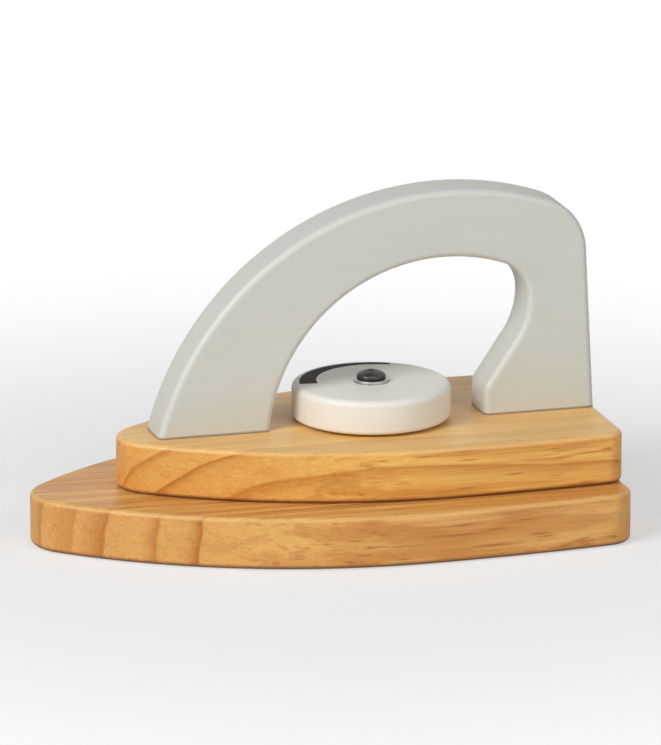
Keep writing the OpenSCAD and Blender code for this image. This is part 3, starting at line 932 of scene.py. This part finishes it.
stand = Matrix.Translation((0, handle_high.y * MM, DECK * MM)) @ Matrix.Rotation(math.pi / 2, 4, "X")
thickness = handle_high.y - handle_low.y
handle_mesh = board("handle_board", handle_outline(), thickness, HANDLE_EDGE_R, GREY_PAINT, stand)
saw_flat(handle_mesh, DECK * MM)
handle_mesh = drilled(handle_mesh, *[handle_screw_drill(node, GREY_PAINT) for node in HANDLE_SCREWS])
piece("handle_board", handle_mesh, "iron_body", "grey_paint", "handle")

# %% [markdown]
# ## The dial and its fasteners
# The dial is turned from a disc of wood, with an eased rim, a bore for the screw and a shallow recess under
# it for the washer. A cylinder could be bevelled and cut to that. The lathe tree gives the rims, the bore and
# the recess in one go, from a section that is drawn once as radii and heights.

# %% Turn the dial
BORE_R, BORE_EASE = 2.08, 0.3
RECESS_R, RECESS_DEEP = 8.5, 0.5
LOWER_RIM, UPPER_RIM = 1.0, 1.6
DIAL_STEPS = 192


def lower_rim(radius, ease, count):
    """Rounded outer corner at the foot of a section."""
    return arc((radius - ease, ease), ease, -90, 0, count)


def upper_rim(radius, height, ease, count):
    """Rounded outer corner at the top of a section."""
    return arc((radius - ease, height - ease), ease, 0, 90, count)


dial_section = ([(BORE_R, RECESS_DEEP), (RECESS_R, RECESS_DEEP), (RECESS_R, 0)]
                + lower_rim(DIAL_R, LOWER_RIM, 8) + upper_rim(DIAL_R, DIAL_TALL, UPPER_RIM, 12)
                + [(BORE_R + BORE_EASE, DIAL_TALL), (BORE_R, DIAL_TALL - BORE_EASE)])
dial_mesh = turn("dial_disc", dial_section, DIAL_Z, DIAL_STEPS, CREAM_PAINT)
piece("dial_disc", dial_mesh, "dial_body", "cream_paint", "dial")

# %% [markdown]
# Washers are stamped from sheet, which leaves one edge rounded and the other sharp. A flat ring would do at
# this size, but the rounded edge catches the light beside the dark head of the screw.

# %% Turn the washers
WASHER_BORE_R, WASHER_STEPS = 2.2, 96


def washer(name, node, material, slot):
    """Stamped washer in place of a node."""
    axis_x, outer_r, base_z, tall = round_mm(node)
    ease = 0.35 * tall
    section = ([(WASHER_BORE_R, 0), (outer_r, 0)] + upper_rim(outer_r, tall, ease, 6)
               + [(WASHER_BORE_R + ease / 2, tall), (WASHER_BORE_R, tall - ease / 2)])
    piece(name, turn(name, section, base_z, WASHER_STEPS, material, axis_x), "iron_body", slot, node)


washer("head_washer", "dial_head_washer", ZINC, "zinc_steel")
washer("base_washer", "dial_base_washer", BRASS, "brass")

# %% [markdown]
# A screw's thread and the flutes of a dowel are the same thing: grooves about an axis. A thread winds round
# it, and flutes run straight along it, to let the glue out of the hole. A coil could be cut out with a
# Boolean, which is slow and leaves slivers. One tree rolls both into a turned blank instead: it measures each
# point's angle and height about the axis, and draws the point inwards where a groove passes. The grooves run
# in softly at both ends and get shallow where a tip gets thin.

# %% Geometry Nodes: grooves about an axis
def grooved_tree():
    """Tree that rolls grooves into a turned blank."""
    tree, given = geometry_tree("grooved", ("Axis X", "Low", "High", "Run in", "Turns per metre", "Depth",
                                            "Full radius"), ("Grooves",))
    at = xyz(tree, add(tree, "GeometryNodeInputPosition").outputs[0])
    x = calc(tree, "SUBTRACT", at["X"], given["Axis X"])
    spoke = add(tree, "ShaderNodeCombineXYZ", {"X": x, "Y": at["Y"]}).outputs[0]
    radius = vector(tree, "LENGTH", spoke)
    angle = calc(tree, "DIVIDE", calc(tree, "ARCTAN2", at["Y"], x), 2 * math.pi)
    wound = calc(tree, "SUBTRACT", calc(tree, "MULTIPLY", at["Z"], given["Turns per metre"]),
                 calc(tree, "MULTIPLY", angle, given["Grooves"]))
    crest = calc(tree, "ABSOLUTE", calc(tree, "MULTIPLY_ADD", calc(tree, "FRACT", wound), 2, -1))
    groove = span(tree, crest, 0.4, 1.0, 1.0, 0.0)
    first = span(tree, at["Z"], given["Low"], calc(tree, "ADD", given["Low"], given["Run in"]))
    last = span(tree, at["Z"], given["High"], calc(tree, "SUBTRACT", given["High"], given["Run in"]))
    share = calc(tree, "MINIMUM", calc(tree, "DIVIDE", radius, given["Full radius"]), 1)
    depth = product(tree, groove, first, last, given["Depth"], share)
    inwards = calc(tree, "DIVIDE", calc(tree, "MULTIPLY", depth, -1),
                   calc(tree, "MAXIMUM", radius, FINE_WELD))
    rolled = moved(tree, given["Geometry"], Offset=vector(tree, "SCALE", spoke, inwards))
    return end_tree(tree, rolled, given["Finish"])


GROOVED = grooved_tree()

# %% [markdown]
# A groove can only show where there are points to draw inwards, so a blank gets close rows of them along its
# thread.

# %% Rolling
THREAD_ROW = 0.12


def roll(mesh, axis_x, low, high, run_in, depth, full_r, material, grooves=1, pitch=None):
    """Mesh with grooves rolled into it between two heights; without a pitch they run straight."""
    return through_tree(mesh.name, mesh, GROOVED, {
        "Axis X": axis_x * MM, "Low": low * MM, "High": high * MM, "Run in": run_in * MM,
        "Turns per metre": 1 / (pitch * MM) if pitch else 0.0, "Grooves": grooves, "Depth": depth * MM,
        "Full radius": full_r * MM, "Finish": material})


def rows(start, end, step=THREAD_ROW):
    """Points along a straight line of a section, close enough for a thread."""
    start, end = Vector(start), Vector(end)
    count = max(1, round((end - start).length / step))
    return [tuple(start.lerp(end, i / count)) for i in range(count + 1)]


print("thread: a row of points every %.2f mm" % THREAD_ROW)

# %% [markdown]
# Screws are driven with a cross recess, so a tapered cross is cut out of the turned head. It is one solid, as
# two blocks that pass through each other would slow the Boolean down. Only then is the thread rolled, because
# a Boolean is quicker on a plain blank.

# %% Cross recess
INNER_CROSS, OUTER_CROSS, CROSS_RISE, CROSS_TURN = (0.64, 0.15), (1.66, 0.4), 1.0, 0.35


def cross_cutter(axis_x, face_z, looks_up):
    """Tapered cross that stands in the face of a screw's head."""
    work = bmesh.new()
    rings = []
    for (reach, wide), rise in ((INNER_CROSS, -CROSS_RISE), (OUTER_CROSS, CROSS_RISE)):
        arm = [Vector((reach, -wide, rise)), Vector((reach, wide, rise)), Vector((wide, wide, rise))]
        rings.append([work.verts.new(Matrix.Rotation(quarter * math.pi / 2 + CROSS_TURN, 3, "Z") @ corner)
                      for quarter in range(4) for corner in arm])
    inner, outer = rings
    for ring in rings:
        work.faces.new(ring)
    for i, corner in enumerate(inner):
        work.faces.new((corner, inner[i - 1], outer[i - 1], outer[i]))
    flip = Matrix.Rotation(0 if looks_up else math.pi, 4, "X")
    work.transform(Matrix.Translation((axis_x * MM, 0, face_z * MM)) @ flip @ Matrix.Scale(MM, 4))
    bmesh.ops.recalc_face_normals(work, faces=work.faces)
    mesh = bpy.data.meshes.new("cross_cutter")
    work.to_mesh(mesh)
    work.free()
    return mesh


print("recess: %.2f mm across" % (2 * OUTER_CROSS[0]))

# %% [markdown]
# The dial's screw is plain where the dial turns on it and threaded where it bites into the board. Its head is
# a low dome on a short rim. Head, shank and tip are one section for the lathe, as a real screw is made of one
# piece of wire.

# %% The dial's screw
HEAD_R, HEAD_TALL, RIM_TALL, HEAD_EASE = 3.5, 2.0, 0.55, 0.15
TIP_R, TIP_Z, TIP_TALL = 0.3, 0.05, 2.2
THREAD_UNDER_DECK, SCREW_STEPS = 0.5, 64


def dial_screw(name, node):
    """Screw with a domed head, driven from above."""
    axis_x, _, base_z, tall = round_mm(node)
    head_z, thread_end = tall - HEAD_TALL, DECK - base_z - THREAD_UNDER_DECK
    dome = [(HEAD_R * x, head_z + RIM_TALL + (HEAD_TALL - RIM_TALL) * z)
            for x, z in arc((0, 0), 1, 0, 90, 16)]
    section = ([(0, 0)] + rows((TIP_R, TIP_Z), (SCREW_R, TIP_TALL))
               + rows((SCREW_R, TIP_TALL), (SCREW_R, thread_end))[1:]
               + [(SCREW_R, head_z), (HEAD_R - HEAD_EASE, head_z), (HEAD_R, head_z + HEAD_EASE)] + dome)
    blank = turn(name, section, base_z, SCREW_STEPS, BLACK_STEEL, axis_x)
    blank = cut(blank, cross_cutter(axis_x, base_z + tall, True))
    mesh = roll(blank, axis_x, low=base_z - OVER, high=base_z + thread_end, run_in=1.2, depth=0.42,
                full_r=SCREW_R, material=BLACK_STEEL, pitch=1.6)
    piece(name, mesh, "iron_body", "dark_steel", node)


dial_screw("pan_screw", "dial_screw")

# %% [markdown]
# The screws of the handle are driven from below, before the plates are glued. Their flat heads sit in the
# countersunk holes of the top plate, and their threads bite into the feet. They are made as the dial's screw
# is, upside down.

# %% The handle's screws
POINT_TALL, POINT_R = 4, 0.2
SHANK_UNDER_DECK, WOOD_SCREW_STEPS = 2, 48


def wood_screw(name, node):
    """Screw with a flat countersunk head, driven from below."""
    axis_x, head_r, base_z, tall = round_mm(node)
    zinc = zinc_plate(name + "_zinc", axis_x)
    rim_r, point_z = head_r - HEAD_EASE, tall - POINT_TALL
    thread_z = DECK - base_z - SHANK_UNDER_DECK
    section = ([(0, 0), (rim_r, 0), (rim_r, HEAD_EASE), (SCREW_R, head_r - SCREW_R)]
               + rows((SCREW_R, thread_z), (SCREW_R, point_z))
               + rows((SCREW_R, point_z), (POINT_R, tall - TIP_Z))[1:] + [(0, tall)])
    blank = turn(name, section, base_z, WOOD_SCREW_STEPS, zinc, axis_x)
    blank = cut(blank, cross_cutter(axis_x, base_z, False))
    mesh = roll(blank, axis_x, low=base_z + thread_z, high=base_z + tall + 2 * OVER, run_in=2.0, depth=0.48,
                full_r=SCREW_R, material=zinc, pitch=1.8)
    piece(name, mesh, "iron_body", "zinc_steel", node)


wood_screw("front_wood_screw", HANDLE_SCREWS[0])
wood_screw("rear_wood_screw", HANDLE_SCREWS[1])

# %% [markdown]
# The dowels are sealed inside the boards and keep them in line while the glue dries. Their ends are bevelled,
# so that they find the hole, and their sides are fluted by the tree that rolls the threads.

# %% Turn and flute the dowels
BEVEL, FLUTES, FLUTE_DEEP, FLUTE_STEPS = 0.8, 24, 0.22, 8


def beech_dowel(name, node):
    """Fluted dowel in place of a node."""
    axis_x, radius, base_z, tall = round_mm(node)
    section = ([(0, 0), (radius - BEVEL, 0)] + rows((radius, BEVEL), (radius, tall - BEVEL), BEVEL)
               + [(radius - BEVEL, tall), (0, tall)])
    blank = turn(name, section, base_z, FLUTE_STEPS * FLUTES, BEECH, axis_x)
    mesh = roll(blank, axis_x, low=base_z + BEVEL / 2, high=base_z + tall - BEVEL / 2, run_in=2 * BEVEL,
                depth=FLUTE_DEEP, full_r=radius, material=BEECH, grooves=FLUTES)
    piece(name, mesh, "iron_body", "beech", node)


beech_dowel("front_dowel", DOWELS[0])
beech_dowel("rear_dowel", DOWELS[1])

# %% [markdown]
# ## The stage
# A toy is photographed on a pale floor under large soft lamps. The floor is white paper. It keeps the shadow
# near the toy, and further away it fades to pure white for the camera alone, so that no edge of it shows.

# %% Floor
FLOOR_HALF, FLOOR_DROP = 3.0, 0.2 * MM
SHADOW_REACH, SHADOW_END = 70, 260


def floor_finish():
    """White paper that fades to pure white away from the toy."""
    material, tree, shader, mm = finish("floor_paper")
    tone = span(tree, noise(tree, mm, 0.02, 2.0), 0.3, 0.7, 0.985, 1.0, "LINEAR")
    tree.links.new(vector(tree, "SCALE", (0.9, 0.9, 0.9), tone), shader.inputs["Base Color"])
    shader.inputs["Roughness"].default_value = 0.9
    shader.inputs["Specular IOR Level"].default_value = 0.1
    away = vector(tree, "LENGTH", mm)
    seen = add(tree, "ShaderNodeLightPath").outputs["Is Camera Ray"]
    fade = calc(tree, "MULTIPLY", span(tree, away, SHADOW_REACH, SHADOW_END, 0.5, 1.0), seen)
    white = add(tree, "ShaderNodeEmission", {"Color": (1, 1, 1, 1), "Strength": 1.0})
    mixed = add(tree, "ShaderNodeMixShader", {0: fade, 1: shader.outputs[0], 2: white.outputs[0]})
    tree.links.new(mixed.outputs[0], tree.nodes["Material Output"].inputs["Surface"])
    return material


floor_mesh = bpy.data.meshes.new("floor")
floor_work = bmesh.new()
bmesh.ops.create_grid(floor_work, x_segments=8, y_segments=8, size=FLOOR_HALF,
                      matrix=Matrix.Translation((0, 0, -FLOOR_DROP)))
floor_work.to_mesh(floor_mesh)
floor_work.free()
floor_mesh.materials.append(floor_finish())
floor = put("floor", floor_mesh)
print("floor: %.0f m square" % (2 * FLOOR_HALF))

# %% [markdown]
# The camera stands a little left of the toy's side and a little above it. It is far enough away for a flat
# perspective, and its lens is chosen so that the toy fills the picture's width.

# %% Camera
AZIMUTH, ELEVATION, DISTANCE = -15.9, 15.2, 1.83
FRAME_W, FRAME_H, FILL = 661, 745, 0.9


def direction(azimuth, elevation):
    """Unit vector from the object towards a place given by compass angle and height angle, in degrees."""
    a, e = math.radians(azimuth), math.radians(elevation)
    return Vector((math.sin(a) * math.cos(e), -math.cos(a) * math.cos(e), math.sin(e)))


def aim(thing, place, target):
    """Put a lamp or a camera in its place and turn it towards a target."""
    thing.location = place
    thing.rotation_mode = "QUATERNION"
    thing.rotation_quaternion = (target - place).to_track_quat("-Z", "Y")


towards = direction(AZIMUTH, ELEVATION)
right = Vector((0, 0, 1)).cross(towards).normalized()
up = towards.cross(right)
points = [v.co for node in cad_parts.values() for v in node.data.vertices]
across = [p.dot(right) for p in points]
upwards = [p.dot(up) for p in points]
target = right * (min(across) + max(across)) / 2 + up * (min(upwards) + max(upwards)) / 2
camera_data = bpy.data.cameras.new("camera")
width = max(across) - min(across)
camera_data.lens = FILL * FRAME_W / FRAME_H * camera_data.sensor_width * DISTANCE / width
camera = put("camera", camera_data)
aim(camera, target + towards * DISTANCE, target)
bpy.context.scene.camera = camera
print("camera: lens %.0f mm at %.2f m" % (camera_data.lens, DISTANCE))

# %% [markdown]
# Two square lamps light the toy: a key from the upper left in front, which shapes it, and a weaker, larger
# one from the right in front, which opens the shadows. The world adds a little light from everywhere, and is
# white where the camera or a reflection sees it. All are set so that a surface comes out about as bright as
# its colour says.

# %% Lamps and world
AMBIENT = 0.16


def soft_lamp(name, azimuth, elevation, distance, width, level):
    """Square soft lamp; level is how bright it alone makes a white surface that faces it."""
    data = bpy.data.lights.new(name, "AREA")
    data.shape, data.size = "SQUARE", width
    data.energy = level * math.pi ** 2 * distance ** 2
    lamp = put(name, data)
    aim(lamp, target + direction(azimuth, elevation) * distance, target)


soft_lamp("key_lamp", azimuth=-60, elevation=36, distance=1.6, width=0.7, level=0.68)
soft_lamp("fill_lamp", azimuth=22, elevation=27, distance=2.0, width=1.4, level=0.31)

world = bpy.data.worlds.new("studio")
bpy.context.scene.world = world
world.use_nodes = True
sky = world.node_tree
ray = add(sky, "ShaderNodeLightPath").outputs
white = calc(sky, "MAXIMUM", calc(sky, "MAXIMUM", ray["Is Camera Ray"], ray["Is Glossy Ray"]),
             ray["Is Transmission Ray"])
sky.links.new(span(sky, white, 0, 1, AMBIENT, 1.0, "LINEAR"), sky.nodes["Background"].inputs["Strength"])
sky.nodes["Background"].inputs["Color"].default_value = (1, 1, 1, 1)
bpy.context.scene.view_settings.view_transform = "Standard"
